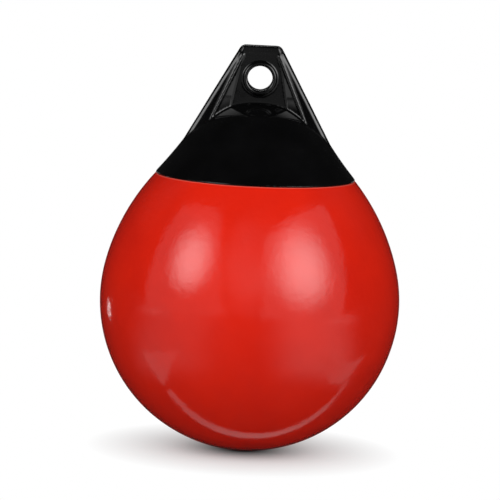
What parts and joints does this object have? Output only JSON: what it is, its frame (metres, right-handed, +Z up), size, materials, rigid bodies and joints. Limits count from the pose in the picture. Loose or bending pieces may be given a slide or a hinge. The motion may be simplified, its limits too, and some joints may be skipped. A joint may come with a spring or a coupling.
{
  "type": "inflatable anchor buoy",
  "caption": "Inflatable vinyl ball buoy with a moulded black head that carries a rope eye, and a screw-plug air valve in the back of the head.",
  "frame": {"origin": "on the vertical axis at the waterline of the empty buoy floating eye up, 47 mm above the ball's lowest point", "axes": "+Z up through the rope eye, rope eye bored along Y with the plain front of the head towards -Y and the valve towards +Y, +X to the right seen from the front"},
  "size_m": [0.2285, 0.2286, 0.31],
  "materials": {
    "red_vinyl": "glossy soft red vinyl, faintly uneven",
    "black_vinyl": "glossy moulded black vinyl",
    "valve_plastic": "satin black nylon",
    "seal_rubber": "plain rubber",
    "plug_plastic": "satin black nylon"
  },
  "bodies": {
    "buoy": {"float_body": "red_vinyl", "rope_head": "black_vinyl", "valve_body": "valve_plastic"},
    "valve_seal": {"seal_ring": "seal_rubber"},
    "valve_plug": {"screw_plug": "plug_plastic"}
  },
  "joints": [
    {"name": "valve_travel", "type": "slide", "parent": "buoy", "child": "valve_seal", "axis": [0, 0.8191, 0.5736], "range_m": [0, 0.01]},
    {"name": "plug_turn", "type": "hinge", "parent": "valve_seal", "child": "valve_plug", "pos_m": [0, 0.05731, 0.18903], "axis": [0, 0.8191, 0.5736], "range_deg": [0, 1801]}
  ],
  "couplings": [
    {"joint": "plug_turn", "follows": "valve_travel", "rad_per_m": 3141.6}
  ]
}
